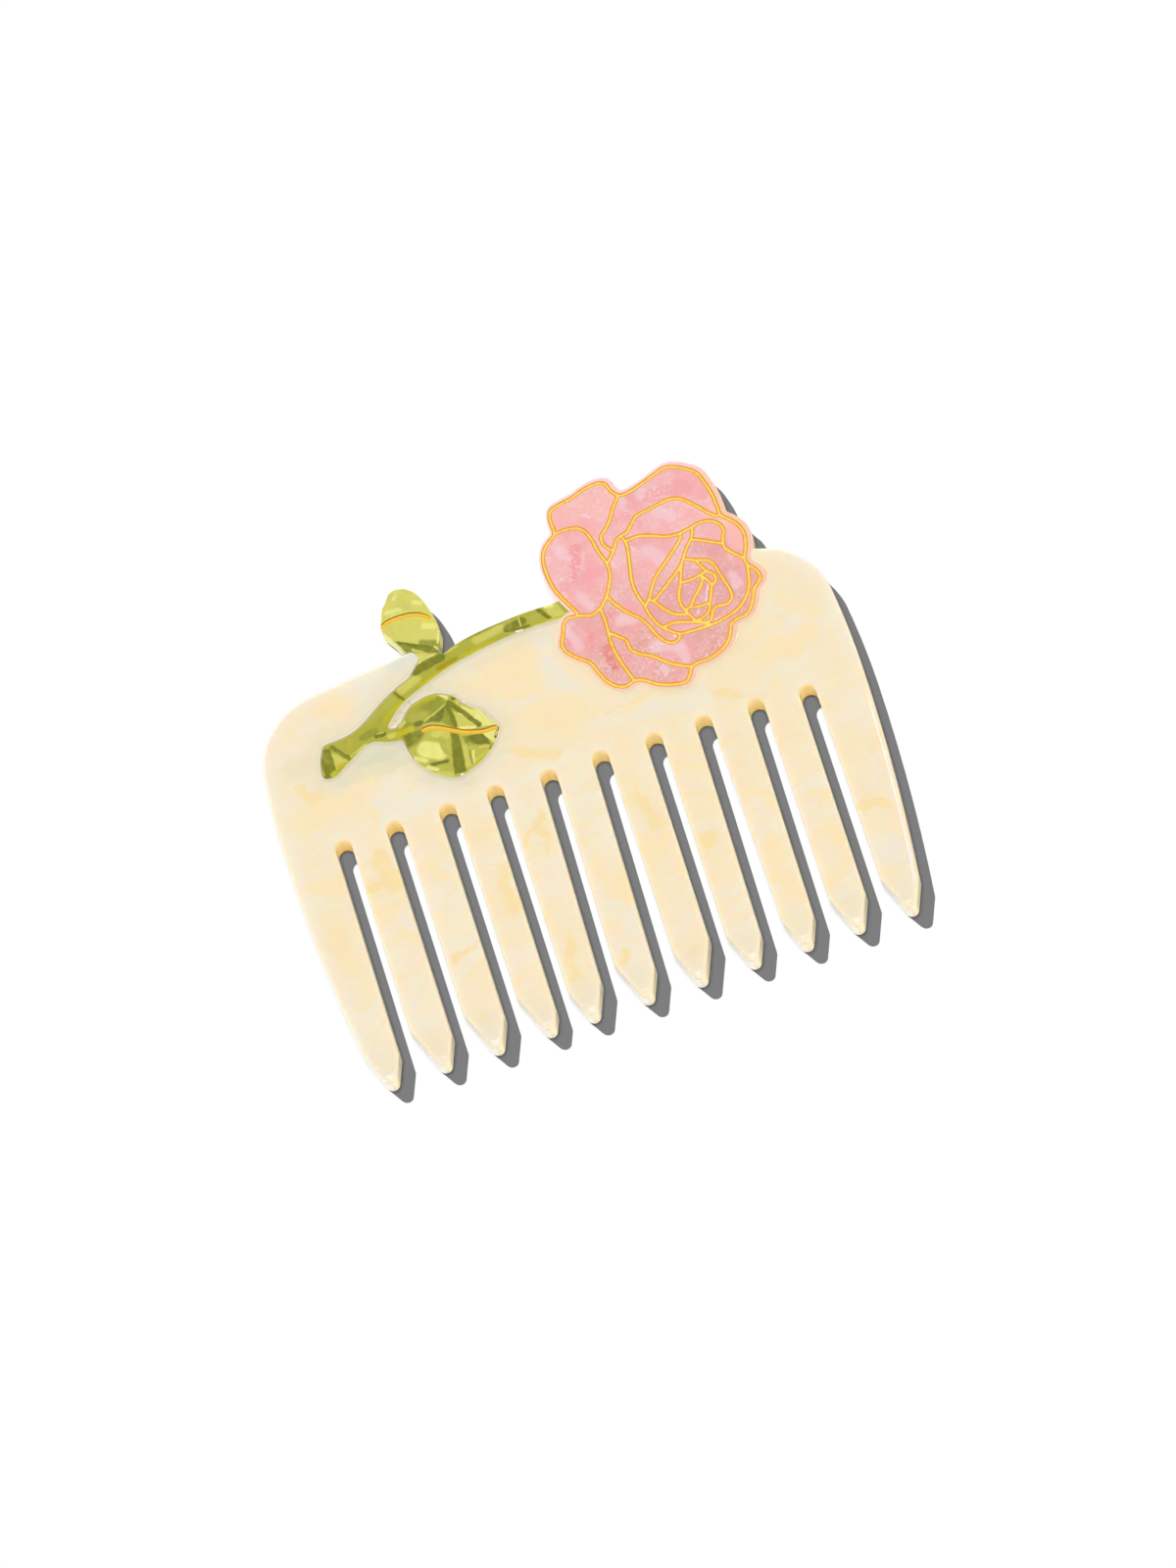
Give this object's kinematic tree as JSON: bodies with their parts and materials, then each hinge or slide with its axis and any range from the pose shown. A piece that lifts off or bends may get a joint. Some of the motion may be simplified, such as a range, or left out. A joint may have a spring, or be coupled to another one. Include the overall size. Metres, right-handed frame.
{
  "type": "pocket comb",
  "caption": "Flat wide-tooth pocket comb with a round-shouldered spine, and a rose with a leafed stem let into its top edge.",
  "frame": {"origin": "centre of the bounding box on the back face, which lies on the surface", "axes": "+X along the spine with the rose on the +X side, +Y from the tooth tips to the spine, +Z out of the front face"},
  "size_m": [0.1, 0.0914, 0.004],
  "materials": {
    "plate_acetate": "polished cellulose acetate, cream with pale yellow marbling",
    "rose_acetate": "polished cellulose acetate, pink marbling",
    "leaf_acetate": "polished cellulose acetate, crumpled olive and yellow-green pearl",
    "gold_fill": "golden yellow colour filled into engraved lines"
  },
  "bodies": {
    "root": {"comb_plate": "plate_acetate", "rose": "rose_acetate", "rose_gold_lines": "gold_fill", "stem_and_leaves": "leaf_acetate", "upper_leaf_vein": "gold_fill", "lower_leaf_vein": "gold_fill"}
  },
  "joints": []
}
